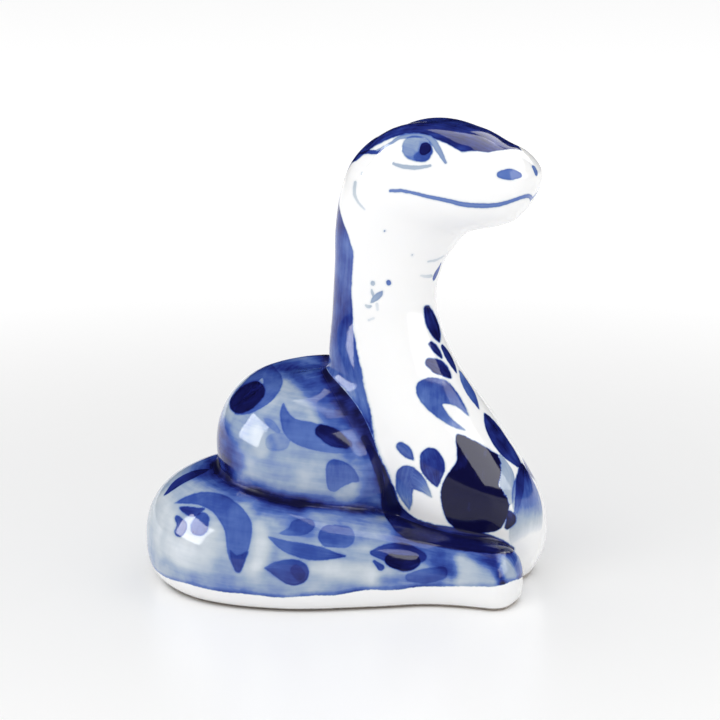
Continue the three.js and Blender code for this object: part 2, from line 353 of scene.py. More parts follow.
def bodyPlaces(points, body):
    # where a point lies on its body: t from 0 to 1, mm along it, and the angle from its back (0)
    # to its belly (pi), with the sign of the side
    t = np.linspace(0, 1, placing["cuts"])
    middle, side, spine, wide, tall, _ = cutsOf(body, t)
    normal = np.cross(side, spine)
    rel = points - frameShift
    off, s, b = [rel @ axis.T - (middle * axis).sum(1) for axis in (normal, side, spine)]
    s, b = s / wide, b / tall
    # the nearest cut, where one whose outline the point is well outside of counts as further away
    outside = np.maximum(np.hypot(s, b) - placing["outline"], 0)
    best = np.argmin(np.abs(off) + placing["cost"] * outside, axis=1)
    # between the nearest cut and the one on the point's other side, by its distance to each
    row = np.arange(len(points))
    length = np.concatenate([[0], np.linalg.norm(np.diff(middle, axis=0), axis=1).cumsum()])
    ahead = off[row, best]
    other = np.clip(best + np.where(ahead > 0, 1, -1), 0, len(t) - 1)
    gap = ahead - off[row, other]
    h = np.clip(ahead / np.where(np.abs(gap) > 1e-6, gap, np.inf), 0, 1)
    t, length, s, b = [v[row, best] + h * (v[row, other] - v[row, best])
                       for v in np.broadcast_arrays(t, length, s, b)]
    return t, length + np.where(other == best, ahead, 0), np.arctan2(s, b)


# the cobalt painting

# half width in degrees of the blue on the crown and down the back of the neck,
# at shares of the way from the ground to the snout, and its ink at some of them
crownBlue = [(0.0, 63), (0.19, 64), (0.235, 66), (0.262, 71), (0.298, 74), (0.317, 71), (0.337, 67),
    (0.358, 65), (0.383, 62), (0.41, 62), (0.444, 62), (0.474, 53), (0.497, 38), (0.51, 26), (0.53, 19),
    (0.56, 20), (0.586, 24), (0.6, 31), (0.622, 34), (0.645, 38), (0.669, 40), (0.705, 41), (0.739, 41),
    (0.757, 44), (0.766, 48), (0.789, 52), (0.805, 57), (0.864, 45), (0.9, 27), (0.927, 7), (0.948, -8),
    (1.0, -40)]
crownInk = [(0.24, 0.85), (0.255, 0.64), (0.27, 0.48), (0.3, 0.6), (0.35, 0.74), (0.41, 0.62), (0.45, 0.56),
            (0.5, 0.8), (0.62, 0.8), (1.0, 0.84)]

# brush strokes of the front by body: coat, ink where the brush starts and where it leaves, the way of
# the brush as places on the front picture plane and half widths, in mm, and where the stroke
# isn't even across, the ink added from its left to its right side
frontStrokes = {
    "rising": [
        # sprig down the chest
        ("leaf", 0.84, 0.92, [(8.4, 6.4, 0.42), (8.9, 4.8, 0.74), (9.5, 3.3, 0.55), (9.9, 2.3, 0.12)]),
        ("leaf", 0.8, 0.85, [(8.9, 2.0, 0.32), (9.5, 1.3, 0.42), (10.2, 0.3, 0.1)]),
        ("leaf", 0.8, 0.92, [(8.7, -0.3, 0.55), (9.8, -0.9, 0.9), (10.8, -1.6, 0.5), (11.3, -2.2, 0.1)]),
        ("leaf", 0.58, 0.66, [(5.1, -10.8, 0.6), (5.8, -11.5, 0.66), (6.7, -12.5, 0.1)]),
        ("leaf", 0.7, 0.82, [(8.8, -12.3, 1.3), (9.1, -13.3, 1.5), (9.4, -14.7, 0.8), (9.6, -15.8, 0.1)]),
        ("leaf", 0.62, 0.4, [(5.9, -14.6, 1.45), (5.6, -16.0, 1.1), (5.9, -17.5, 0.6), (6.2, -18.7, 0.12)]),
        ("leaf", 0.62, 0.3, [(6.2, -14.7, 1.35), (7.2, -15.3, 1.0), (8.2, -16.2, 0.5), (8.9, -17.1, 0.1)]),
        ("over", 0.9, 0.95, [(18.7, -19.2, 0.4), (18.9, -20.0, 0.6), (18.4, -20.9, 0.3)]),
        # faint dabs on the neck, the touch of blue at the throat, two specks of kiln dust
        ("line", 0.26, 0.24, [(1.58, 9.65, 0.26), (1.62, 9.55, 0.26)]),
        ("line", 0.5, 0.46, [(3.55, 9.7, 0.3), (3.6, 9.6, 0.32)]),
        ("line", 0.36, 0.3, [(2.75, 8.55, 0.14), (2.5, 8.2, 0.34), (2.05, 7.85, 0.4), (1.7, 7.5, 0.3),
         (1.4, 7.2, 0.14)]),
        ("line", 0.2, 0.26, [(1.45, 8.8, 0.1), (1.55, 8.4, 0.2), (1.7, 8.0, 0.16)]),
        ("line", 0.16, 0.24, [(0.7, 6.85, 0.12), (1.05, 6.66, 0.24), (1.35, 6.75, 0.12)]),
        ("line", 0.1, 0.08, [(2.1, 7.0, 0.2), (2.2, 6.3, 0.16)]),
        ("line", 0.1, 0.08, [(1.1, 5.0, 0.16), (1.7, 5.2, 0.16)]),
        ("line", 0.08, 0.16, [(7.6, 10.55, 0.12), (8.3, 10.45, 0.2), (8.9, 10.5, 0.2)]),
        ("line", 0.14, 0.12, [(8.5, 12.3, 0.1), (9.5, 12.5, 0.15), (10.5, 13.0, 0.08)]),
        ("line", 0.4, 0.4, [(3.05, 16.1, 0.09), (3.1, 16.15, 0.09)]),
        ("line", 0.35, 0.35, [(6.5, 13.1, 0.08), (6.55, 13.15, 0.08)]),
    ],
    "upper": [
        ("over", 0.86, 0.9, [(-15.1, -5.5, 1.2), (-14.1, -4.7, 1.5), (-13.1, -3.9, 1.25)]),
        ("leaf", 0.6, 0.5, [(-4.9, -8.8, 0.8), (-3.4, -9.7, 1.0), (-1.6, -10.6, 0.6)]),
        ("over", 0.76, 0.72, [(-4.8, -8.9, 0.8), (-3.3, -9.7, 1.1), (-1.8, -10.6, 0.5)]),
        ("leaf", 0.1, 0.16, [(-12.0, -7.3, 0.12), (-11.2, -7.9, 0.5), (-10.2, -8.9, 0.3)]),
        ("leaf", 0.12, 0.14, [(-10.8, -10.3, 1.1), (-9.9, -10.2, 1.1)]),
    ],
    "lower": [
        ("leaf", 0.62, 0.56, [(-22.4, -18.5, 0.15), (-21.0, -19.0, 0.62), (-19.5, -18.6, 0.12)]),
        ("over", 0.48, 0.52, [(-19.7, -19.9, 0.85), (-20.1, -20.9, 1.1)]),
        ("leaf", 0.56, 0.62, [(-22.8, -19.8, 0.35), (-22.3, -20.7, 0.65), (-22.6, -21.5, 0.65)]),
        ("leaf", 0.4, 0.26, [(-3.8, -22.0, 1.4), (-2.1, -22.1, 1.4)]),
        ("leaf", 0.3, 0.54, [(-11.4, -22.1, 0.1), (-9.5, -23.2, 0.62), (-7.4, -23.8, 0.95),
         (-5.2, -24.2, 0.85), (-3.3, -24.4, 0.45), (-1.9, -24.5, 0.12)]),
        ("leaf", 0.36, 0.62, [(-11.9, -26.0, 0.1), (-10.5, -26.1, 0.85), (-8.6, -26.5, 1.6),
         (-7.9, -26.6, 1.5)], 0.1),
        ("over", 0.26, 0.3, [(-8.0, -26.3, 0.7), (-7.6, -26.8, 0.75)]),
        ("over", 0.94, 0.9, [(3.9, -25.0, 0.8), (5.6, -25.4, 1.0), (6.8, -25.2, 0.75)]),
        ("leaf", 0.6, 0.55, [(1.6, -24.1, 0.3), (3.5, -24.1, 1.1), (5.5, -24.0, 1.1), (7.6, -24.6, 0.7)]),
        ("leaf", 0.5, 0.55, [(1.8, -25.2, 0.2), (2.6, -25.9, 0.42)]),
        ("leaf", 0.3, 0.38, [(6.2, -27.2, 0.5), (8.1, -27.0, 0.95), (10.2, -26.6, 0.8)]),
        ("line", 0.4, 0.4, [(-20.9, -21.55, 0.08), (-20.85, -21.5, 0.08)]),
    ],
    # on any body: dark band along the crease under the chest, cobalt and painted shade together
    "": [
        ("over", 0.8, 0.9, [(0.6, -9.8, 0.45), (2.1, -12.9, 0.6), (3.3, -16.2, 0.75), (4.0, -18.6, 1.15),
         (6.1, -20.9, 1.4), (9.2, -21.9, 1.35), (13.2, -22.5, 1.35), (16.9, -23.2, 1.05),
         (18.8, -23.7, 0.5)]),
    ],
}

# whole shapes of the front by body: coat, ink, ink added from left to right and from bottom to top,
# outline on the picture plane in mm
frontShapes = {
    "rising": [
        ("leaf", 0.56, 0.04, 0.22, [(7.0, -3.4), (7.6, -2.6), (9.2, -2.15), (10.9, -2.7), (12.1, -4.0),
         (12.9, -5.3), (13.6, -7.0), (12.6, -6.2), (11.9, -5.75), (11.1, -5.5), (10.3, -5.6), (11.0, -6.7),
         (12.1, -7.8), (13.2, -8.8), (11.6, -8.4), (9.9, -7.4), (8.4, -6.1), (7.3, -4.8)]),
        ("leaf", 1.13, 0.03, -0.04, [(12.1, -9.3), (14.0, -10.0), (16.2, -11.2), (17.8, -12.5),
         (17.6, -14.5), (17.3, -15.7), (18.3, -16.5), (18.7, -17.8), (18.2, -19.8), (17.3, -21.2),
         (15.1, -21.6), (12.9, -21.5), (11.4, -20.6), (10.4, -18.9), (10.1, -16.9), (10.6, -14.9),
         (12.0, -12.9), (12.2, -11.3)]),
    ],
    "upper": [
        ("leaf", 0.28, -0.16, 0.12, [(-9.6, -5.4), (-10.0, -6.9), (-9.6, -8.9), (-8.2, -10.4),
         (-5.7, -11.3), (-3.1, -11.7), (-1.0, -11.6), (-1.2, -10.7), (-3.1, -9.3), (-5.6, -7.9),
         (-7.9, -7.4), (-9.0, -6.5)]),
        ("leaf", 0.34, 0.0, 0.14, [(-4.2, -13.2), (-3.2, -12.4), (-1.2, -13.2), (-0.1, -15.0),
         (-1.0, -15.3), (-2.2, -15.9), (-3.2, -16.5), (-4.1, -15.9)]),
    ],
    "lower": [
        ("leaf", 0.38, -0.06, 0.06, [(-23.2, -17.9), (-21.6, -17.0), (-19.4, -16.5), (-16.7, -17.0),
         (-14.5, -18.7), (-13.5, -20.7), (-13.8, -23.2), (-14.4, -25.2), (-15.0, -26.5), (-15.7, -26.2),
         (-16.5, -24.3), (-16.7, -22.7), (-17.1, -20.9), (-18.4, -19.0), (-20.3, -18.1), (-22.0, -17.9)]),
        ("over", 0.38, 0.0, -0.1, [(-16.3, -23.8), (-15.4, -24.4), (-13.9, -23.9), (-14.4, -25.2),
         (-15.0, -26.5), (-15.7, -26.2)]),
        ("leaf", 0.32, 0.2, 0.0, [(-10.2, -21.7), (-9.0, -21.0), (-8.4, -20.1), (-7.1, -19.8),
         (-5.9, -20.1), (-5.7, -21.0), (-6.7, -21.8), (-8.2, -22.0)]),
    ],
}

# the face, painted alike on both sides of the head; rows as in the front strokes
faceStrokes = [
    ("line", 0.72, 0.62, [(0.0, 25.8, 0.12), (1.0, 26.0, 0.24), (2.1, 26.0, 0.26), (2.9, 26.5, 0.15)]),
    ("line", 0.34, 0.36, [(2.1, 26.1, 0.2), (3.7, 27.0, 0.16), (5.0, 27.8, 0.25), (6.9, 28.1, 0.3),
     (8.3, 28.0, 0.34), (9.2, 27.2, 0.42), (9.9, 26.1, 0.36), (10.7, 24.7, 0.18)]),
    ("leaf", 0.36, 0.42, [(6.75, 26.5, 1.55), (7.5, 26.3, 1.6)], 0.1),
    ("over", 0.3, 0.42, [(7.2, 25.35, 0.55), (7.9, 25.55, 0.8), (8.3, 26.1, 0.8)]),
    ("line", 0.72, 0.78, [(7.95, 26.15, 0.55), (8.2, 26.5, 0.72)]),
    ("line", 0.26, 0.26, [(4.2, 24.55, 0.18), (5.3, 24.2, 0.25), (7.0, 24.05, 0.26), (8.8, 24.3, 0.16)]),
    ("line", 0.42, 0.46, [(3.8, 21.15, 0.2), (5.3, 21.15, 0.22), (7.0, 20.8, 0.2), (8.6, 20.4, 0.24),
     (10.6, 20.0, 0.26), (12.7, 19.5, 0.3), (14.7, 19.3, 0.31), (16.8, 19.35, 0.28), (18.4, 19.7, 0.24),
     (20.1, 20.3, 0.22), (21.2, 20.45, 0.28), (21.6, 19.7, 0.22)]),
    ("line", 0.16, 0.16, [(0.35, 23.3, 0.24), (0.3, 23.2, 0.2)]),
    ("line", 0.2, 0.14, [(-0.6, 22.2, 0.2), (-0.7, 20.8, 0.2), (-0.2, 19.7, 0.16), (0.6, 18.8, 0.1)]),
]

# strokes that run on past the edge of the front's view: their way is carried onto the surface,
# and the half widths are true ones
solidStrokes = {
    "rising": [
        ("line", 0.6, 0.6, [(10.1, 12.1, 0.1), (9.75, 11.2, 0.5), (9.45, 10.6, 0.6), (9.3, 10.2, 0.3)]),
        ("leaf", 0.85, 0.8, [(10.4, 1.5, 0.5), (11.25, 0.1, 0.9), (12.0, -1.5, 0.15)]),
        ("leaf", 0.54, 0.72, [(12.6, -1.6, 0.4), (13.6, -3.6, 1.2), (14.8, -6.0, 0.15)]),
        ("leaf", 0.9, 0.82, [(15.9, -7.2, 0.6), (16.8, -8.7, 1.8), (18.0, -10.5, 2.1), (19.3, -12.1, 1.4),
         (20.1, -13.1, 0.2)]),
        ("leaf", 0.9, 0.0, [(20.5, -13.5, 0.7), (21.1, -16.0, 2.6), (21.5, -18.4, 3.4), (21.4, -20.1, 3.5),
         (21.2, -21.8, 3.0)]),
        ("over", 0.62, 0.12, [(20.3, -13.9, 0.4), (19.9, -15.7, 0.95), (19.6, -17.3, 0.85),
         (19.5, -18.9, 0.35)]),
        ("leaf", 0.34, 0.22, [(17.6, -12.4, 0.6), (18.4, -14.2, 1.2), (18.4, -16.0, 1.0),
         (18.8, -17.6, 0.5)]),
        ("line", 0.44, 0.46, [(21.8, 23.95, 0.45), (22.0, 23.5, 0.5)]),
        ("line", 0.46, 0.5, [(17.5, 23.15, 0.4), (18.7, 23.22, 0.72), (19.9, 23.12, 0.38)]),
    ],
    "upper": [
        ("leaf", 0.36, 0.4, [(-12.0, -0.9, 1.1), (-10.9, -2.4, 1.2), (-11.6, -4.4, 1.3), (-13.4, -5.8, 1.0),
         (-15.2, -6.2, 0.7)]),
        ("leaf", 0.4, 0.46, [(-12.6, -1.6, 1.4), (-14.2, -3.2, 1.5), (-15.4, -4.9, 1.2)]),
    ],
    "lower": [
        ("over", 0.7, 0.8, [(-24.3, -16.7, 0.3), (-22.6, -15.2, 1.3), (-20.7, -14.2, 1.2),
         (-19.2, -13.7, 0.3)]),
    ],
}

# soft washes laid before the strokes by body: ink, softness of the edge, way with half widths on the front
washes = {
    "upper": [
        (0.56, 1.5, [(-13.5, -0.6, 0.9), (-9.6, -0.4, 1.3), (-6.2, -1.4, 2.4), (-3.8, -4.4, 2.6),
         (-2.0, -8.0, 1.9), (0.4, -12.0, 1.1)]),
        # darker along the crease with the neck: cobalt and painted shade together
        (0.84, 1.7, [(-4.6, 1.2, 0.9), (-3.4, -1.6, 1.2), (-1.6, -5.8, 1.2), (0.6, -9.8, 1.0)]),
        (0.72, 1.9, [(-18.4, -5.6, 0.7), (-18.0, -8.0, 1.1), (-17.4, -10.6, 1.5), (-16.2, -13.2, 1.6)]),
        (0.3, 1.6, [(-14.6, -15.6, 0.9), (-10.0, -17.2, 0.8), (-5.0, -18.6, 0.6)]),
        (0.36, 1.6, [(-0.8, -12.0, 1.0), (1.0, -15.0, 1.6), (1.6, -18.4, 1.4)]),
        (0.04, 0.8, [(-2.6, -17.4, 0.7), (-1.4, -18.3, 0.9), (-0.6, -19.4, 0.6)]),
        (0.06, 1.2, [(-12.8, -8.8, 0.8), (-12.4, -11.0, 1.2)]),
    ],
    "lower": [
        (0.0, 2.2, [(-25.0, -17.5, 1.2), (-24.4, -20.5, 1.9), (-23.4, -23.4, 2.2), (-20.6, -24.4, 2.0),
         (-18.4, -21.6, 1.2)]),
        (0.5, 1.8, [(-19.6, -14.0, 1.4), (-16.6, -15.2, 1.6), (-14.2, -16.8, 1.1), (-11.6, -18.4, 0.9),
         (-7.4, -19.4, 0.8)]),
        # darker along the crease under the upper coil: cobalt and painted shade together
        (0.72, 1.4, [(-18.9, -12.3, 0.6), (-17.2, -13.9, 0.7), (-15.5, -15.1, 0.5), (-13.1, -16.4, 0.6),
         (-10.6, -17.5, 0.5), (-7.5, -18.4, 0.4)]),
        # darker along the crease under the chest: cobalt and painted shade together
        (0.62, 1.6, [(3.6, -21.4, 0.9), (7.6, -23.2, 1.3), (12.2, -23.9, 1.2), (16.4, -24.7, 0.9)]),
        (0.34, 1.1, [(-9.5, -19.8, 0.9), (-5.5, -20.9, 1.6), (-1.0, -21.3, 1.8), (2.8, -21.6, 1.3)]),
        (0.26, 1.4, [(-24.4, -25.4, 0.5), (-21.4, -27.4, 0.8), (-16.4, -28.6, 0.8), (-8.4, -29.3, 0.8),
         (-1.0, -29.2, 0.8), (6.0, -28.4, 0.6)]),
        (0.02, 1.3, [(-12.6, -20.6, 0.6), (-12.2, -23.4, 1.1), (-12.9, -25.8, 0.8)]),
        (0.03, 1.3, [(-5.6, -26.0, 0.8), (-2.2, -26.4, 1.2), (1.0, -26.8, 1.2)]),
        (0.4, 1.3, [(3.0, -27.6, 0.6), (6.2, -27.8, 0.9), (9.8, -27.6, 0.8)]),
        (0.56, 1.4, [(8.0, -23.8, 1.2), (10.6, -24.6, 1.8), (12.2, -26.4, 1.2)]),
        (0.06, 1.4, [(12.6, -25.0, 0.8), (13.6, -26.6, 1.5), (14.2, -28.3, 2.0), (17.4, -29.5, 1.4)]),
        (0.6, 1.0, [(15.2, -24.2, 0.5), (16.8, -25.6, 0.6), (17.6, -27.2, 0.5), (18.2, -28.8, 0.4)]),
        # pale streak on the tail's end: a painted highlight where the lamp's glint falls
        (0.16, 0.8, [(17.8, -25.8, 0.3), (18.9, -27.4, 0.6), (19.6, -29.0, 0.5)]),
        (0.66, 0.8, [(17.6, -23.4, 0.5), (19.0, -24.6, 0.5), (20.0, -26.6, 0.4), (20.5, -28.4, 0.3)]),
    ],
}

# leaves of the sides that the photograph doesn't show, plainer and in keeping:
# body, view, place of the root, size, lean, leaves, ink
sideSprigs = [
    ("upper", "behind", -9.0, -9.5, 5.2, 20.0, 3, 0.8), ("upper", "behind", 3.0, -12.5, 5.6, 200.0, 3, 0.72),
    ("upper", "behind", 9.5, -9.0, 4.6, 100.0, 2, 0.8), ("lower", "behind", -14.5, -22.0, 5.0, 10.0, 3, 0.72),
    ("lower", "behind", -3.0, -25.0, 5.0, 190.0, 2, 0.8), ("lower", "behind", 6.0, -23.0, 5.4, 15.0, 3, 0.76),
    ("lower", "behind", 17.5, -22.0, 4.6, 170.0, 3, 0.7), ("lower", "left", -1.2, -23.2, 5.0, 178.0, 3, 0.75),
    ("upper", "left", -4.0, -10.5, 5.0, 120.0, 2, 0.75),
    ("rising", "right", -0.4, -19.5, 7.0, 96.0, 3, 0.85), ("rising", "right", 1.6, -8.6, 5.2, 94.0, 3, 0.78),
    ("lower", "right", 10.5, -23.0, 4.2, 30.0, 2, 0.72)]

coats = ("leaf", "over", "line")
painting = {
    "wrap": 0.35,  # how far a stroke may run on past the edge of what its view sees
    "far": 3.0,  # mm beyond which the distance to an edge isn't kept
    "apart": 0.7,  # share of the distance to another body that keeps a stroke on its own
    "reach": 2.0,  # mm that a stroke's points may be hidden, or lie on another body
    "waySteps": 8,  # pieces of a brush's way, and of an outline, from one place to the next
    "outlineSteps": 6,
    "strokeGap": 3.7,  # from the streaks of one stroke to those of the next
    "crownRadius": 5.6,
    "crownBrush": (6.0, 0.6, 91.0),  # streaks across, streaks along, place in the noise
    "crownFade": 40.0,  # mm below the start for each share of the way
    "crownStart": 0.12,  # share of the way up at which the blue of the neck begins
    "coilWash": 0.18,
    # cobalt gathered in every crease between two bodies, and painted shade there
    "creaseInkAndShade": 0.8,
    "creaseReach": 1.15,
    "creasePower": 1.3,
    "washSide": (-0.2, 0.1),  # mm over which a wash ends at another body, and at the edge of the view
    "washView": (-1.8, 0.5),
    "grainTurn": 7.0,
    "grainApart": 13.0,
    "creaseHaze": (0.3, 2.4),  # share of the crease's cobalt and painted shade that reaches further, and its reach
    # height of the wash's lower edge over the ground, at turns round the middle
    "foot": [(-180, 2.3), (-120, 2.35), (-95, 2.3), (-80, 2.75), (-55, 2.9), (-40, 3.4), (-25, 2.9),
             (40, 2.4), (180, 2.3)],
    "footWaves": [(0.12, 7, 0), (0.08, 17, 40)],  # mm high, waves round the foot, degrees on
}
sprigForm = {
    "spread": 46,  # degrees between two leaves
    "sideLeaf": 0.78,  # length of the outer leaves, as a share of the middle one's
    # share of the leaf's length, and half width as a share of the size
    "way": [(0.18, 0.0), (0.6, 0.17), (1.0, 0.2)],
    "tip": 0.1,  # half width at the root in mm
    "drain": 0.12,  # ink lost from the root to the end
}


def fineWay(way, onto=None):
    # a brush's way in short pieces, carried onto the surface as it is seen from a view if one is given
    line = throughStations(way, np.linspace(0, 1, painting["waySteps"] * (len(way) - 1) + 1))
    return np.concatenate([seenAt(line[:, :2], onto), line[:, 2:]], axis=1) if onto else line


def besidePiece(places, a, b):
    # the step from a to b, the way from a to each place, the share of the step nearest to the place
    # and the way there from it
    step = b - a
    rel = places - a
    h = np.clip((rel @ step) / max(step @ step, 1e-9), 0, 1)
    return step, rel, h, rel - h[:, None] * step


def strokeShape(places, line):
    # edge = distance to the nearest piece of the way less the half width there;
    # also the share of the way done, and how far aside of it as a share of the half width
    size = places.shape[1]
    edge = np.full(len(places), 9.0)
    done = np.zeros(len(places))
    aside = np.zeros(len(places))
    for i in range(len(line) - 1):
        step, rel, h, off = besidePiece(places, line[i, :size], line[i + 1, :size])
        half = np.maximum(line[i, size] + h * (line[i + 1, size] - line[i, size]), 0.02)
        here = np.linalg.norm(off, axis=1) - half
        last = size - 1  # seen from the front, a solid stroke's sides are told apart by x and z
        cross = (step[0] * rel[:, last] - step[last] * rel[:, 0]) / max(np.linalg.norm(step), 1e-9)
        nearer = here < edge
        edge = np.where(nearer, here, edge)
        done = np.where(nearer, (i + h) / (len(line) - 1), done)
        aside = np.where(nearer, np.clip(-cross / half, -1.3, 1.3), aside)
    return edge, done, aside


def outlineShape(places, outline):
    # edge = distance to the smooth closed outline, negative inside, where a ray crosses it an odd
    # number of times
    ring = np.array(outline[-1:] + outline + outline[:2])
    steps = np.linspace(1, len(ring) - 2, painting["outlineSteps"] * len(outline) + 1)
    line = throughStations(ring, steps / (len(ring) - 1))
    edge = np.full(len(places), 9.0)
    crossings = np.zeros(len(places), int)
    for a, b in zip(line[:-1], line[1:]):
        step, rel, _, off = besidePiece(places, a, b)
        edge = np.minimum(edge, np.hypot(off[:, 0], off[:, 1]))
        spans = (a[1] > places[:, 1]) != (b[1] > places[:, 1])
        slope = step[1] if abs(step[1]) > 1e-9 else 1e-9
        crossings += spans & (places[:, 0] < a[0] + rel[:, 1] * step[0] / slope)
    middle, spread = line.mean(axis=0), np.ptp(line, axis=0)
    done = np.clip((places[:, 1] - middle[1]) / spread[1] + 0.5, 0, 1)
    aside = np.clip(2 * (places[:, 0] - middle[0]) / spread[0], -1.3, 1.3)
    return np.where(crossings % 2 == 1, -edge, edge), done, aside


def mirroredHead(points, outward):
    # every point of the far half of the head taken to its mirror point on the near half,
    # and its outward direction with it
    c, s = cosSin(snakeForm["brow"]["turn"])
    side = np.array([s, c, 0.0])
    off = (points - neckBase - frameShift) @ side
    turned = np.where(off > 0, outward @ side, 0)
    return points - 2 * np.maximum(off, 0)[:, None] * side, outward - 2 * turned[:, None] * side


def smoothStep(value, low, high):
    # 3h^2 - 2h^3 of the share h of the way from low to high
    h = np.clip((value - low) / (high - low), 0, 1)
    return h * h * (3 - 2 * h)


def leafSprig(u, v, size, lean, count, ink):
    # a fan of drop-shaped leaves round a root: each starts as a point at the root and ends round
    for i in range(count):
        c, s = cosSin(lean + (i - (count - 1) / 2) * sprigForm["spread"])
        long = size * (1.0 if i == count // 2 else sprigForm["sideLeaf"])
        way = [(u + c * long * far, v + s * long * far, max(size * half, sprigForm["tip"]))
               for far, half in sprigForm["way"]]
        yield "leaf", ink, ink - sprigForm["drain"], way


def paintAt(points):
    # ink, edge and brush place of each coat, and the wash, at every point
    count = len(points)
    far = painting["far"]
    near = np.stack([roughly(bodyFields[name], points) for name in bodyNames], 1)
    order = np.sort(near, axis=1)
    # how much nearer each point is to a body than to any other, below nought on the body itself
    mine = {name: near[:, i] - np.where(near[:, i] == order[:, 0], order[:, 1], order[:, 0])
            for i, name in enumerate(bodyNames)}
    crease = order[:, 1] - order[:, 0]
    label = near.argmin(axis=1)
    outward = unit(smoothly(wholeField, points)[1])
    # where the strokes' places are meant: on the picture, on that of the mirrored head, or in space
    seen = {"front": onPicture(points, outward), "face": onPicture(*mirroredHead(points, outward)),
            "solid": (points, np.full(count, far))}
    paint = {coat: {"edge": np.full(count, far), "ink": np.zeros(count), "brush": np.zeros((count, 3))}
             for coat in coats}
    strokeNumber = [0]

    def reachable(view, body, low, high):
        # the points that a stroke between two corners of the view may reach
        places, clear = seen[view]
        close = (places > low - far).all(axis=1) & (places < high + far).all(axis=1)
        close = close & (clear > -painting["reach"])
        if body:
            close = close & (mine[body] < painting["reach"])
        return np.nonzero(close)[0]

    def lay(view, body, coat, shapeAt, low, high, inkOf, size):
        # one stroke laid over the coat where it is the nearest
        strokeNumber[0] += 1
        these = reachable(view, body, low, high)
        if not len(these):
            return
        places, clear = seen[view]
        edge, done, aside = shapeAt(places[these])
        edge = np.maximum(edge, -(clear[these] + painting["wrap"]))
        if body:
            edge = np.maximum(edge, mine[body][these] * painting["apart"])
        kept = paint[coat]
        over = edge < kept["edge"][these]
        won = these[over]
        number = np.full(len(won), strokeNumber[0] * painting["strokeGap"])
        kept["edge"][won] = edge[over]
        kept["ink"][won] = inkOf(done[over], aside[over])
        kept["brush"][won] = np.stack([aside[over] * size, done[over] * size * 3, number], 1)

    def layStroke(view, body, coat, first, last, way, lean=0.0, onto=None):
        line = fineWay(way, onto)
        reach = line[:, -1].max()
        low, high = line[:, :-1].min(0) - reach, line[:, :-1].max(0) + reach
        lay(view, body, coat, lambda places: strokeShape(places, line), low, high,
            lambda done, aside: np.clip(first + (last - first) * done + lean * aside, 0, 1), reach)

    for body, rows in frontStrokes.items():
        for row in rows:
            layStroke("front", body, *row)
    for body, rows in frontShapes.items():
        for coat, ink, across, upward, outline in rows:
            corners = np.array(outline)
            lay("front", body, coat, lambda places: outlineShape(places, outline),
                corners.min(0), corners.max(0),
                lambda done, aside: np.clip(ink + upward * (done - 0.5) + across * aside / 2, 0, 1.2), 2.0)
    for row in faceStrokes:
        layStroke("face", "rising", *row)
    for body, rows in solidStrokes.items():
        for row in rows:
            layStroke("solid", body, *row, onto="front")
    for body, view, *sprig in sideSprigs:
        for row in leafSprig(*sprig):
            layStroke("solid", body, *row, onto=view)

    # crown and back of the neck
    t, along, angle = bodyPlaces(points, "rising")
    width = np.interp(t, *np.array(crownBlue, float).T)
    edge = np.radians(np.degrees(np.abs(angle)) - width) * painting["crownRadius"]
    below = (painting["crownStart"] - t) * painting["crownFade"]
    edge = np.maximum(np.clip(edge, -far, far), np.maximum(mine["rising"] * painting["apart"], below))
    kept = paint["leaf"]
    over = edge < kept["edge"]
    kept["edge"] = np.where(over, edge, kept["edge"])
    kept["ink"] = np.where(over, np.interp(t, *np.array(crownInk).T), kept["ink"])
    across, streaks, apart = painting["crownBrush"]
    crownBrush = np.stack([angle * across, along * streaks, np.full(count, apart)], 1)
    kept["brush"] = np.where(over[:, None], crownBrush, kept["brush"])

    # washes, and the cobalt gathered in the creases together with painted shade there
    wash = np.full(count, painting["coilWash"])
    places, clear = seen["front"]
    for body, rows in washes.items():
        for ink, soft, way in rows:
            corners = np.array(way)
            reach = corners[:, 2].max() + soft
            these = reachable("front", body, corners[:, :2].min(0) - reach, corners[:, :2].max(0) + reach)
            edge = strokeShape(places[these], fineWay(way))[0]
            cover = smoothStep(-edge, -soft / 2, soft / 2)
            cover = cover * smoothStep(-mine[body][these], *painting["washSide"])
            cover = cover * smoothStep(clear[these], *painting["washView"])
            wash[these] += (ink - wash[these]) * cover
    haze, hazeReach = painting["creaseHaze"]
    # painted shade: darker where two bodies meet, together with the cobalt gathered in the creases
    creaseCobaltAndShade = np.exp(-(crease / painting["creaseReach"]) ** painting["creasePower"])
    creaseCobaltAndShade = creaseCobaltAndShade + haze * np.exp(-crease / hazeReach)
    wash = 1 - (1 - wash) * (1 - painting["creaseInkAndShade"] * np.clip(creaseCobaltAndShade, 0, 1))
    turn = np.degrees(np.arctan2(points[:, 1], points[:, 0]))
    foot = points[:, 2] - np.interp(turn, *np.array(painting["foot"], float).T)
    for high, waves, on in painting["footWaves"]:
        foot = foot - high * np.sin(np.radians(turn * waves + on))
    grain = np.zeros((count, 3))
    for i, name in enumerate(bodyNames):
        rows = label == i
        t, along, angle = bodyPlaces(points[rows], name)
        grain[rows] = np.stack([along, angle * painting["grainTurn"],
                                np.full(rows.sum(), i * painting["grainApart"])], 1)
    return paint, wash, foot, grain, np.clip(mine["rising"], -far, far)


# the surface as one closed mesh

skinSettings = {
    "step": 0.45,
    "margin": 0.6,
    "rounds": 2,
    "slack": 1.35,  # an edge is split where it is this much longer than wanted
    # length wanted within the reach of a painted edge, growth per mm beyond it, and the reach
    "brushEdge": (0.215, 0.9, 0.26),
    "thinLine": (0.115, 0.7, 0.24),
}

# how a face is cut by the count of its split edges: corners 0 to 2, and 3 to 5 on the edge after each
faceCuts = {0: [(0, 1, 2)], 1: [(0, 3, 2), (3, 1, 2)], 2: [(3, 1, 4), (0, 3, 4), (0, 4, 2)],
            3: [(0, 3, 5), (3, 1, 4), (5, 4, 2), (3, 4, 5)]}


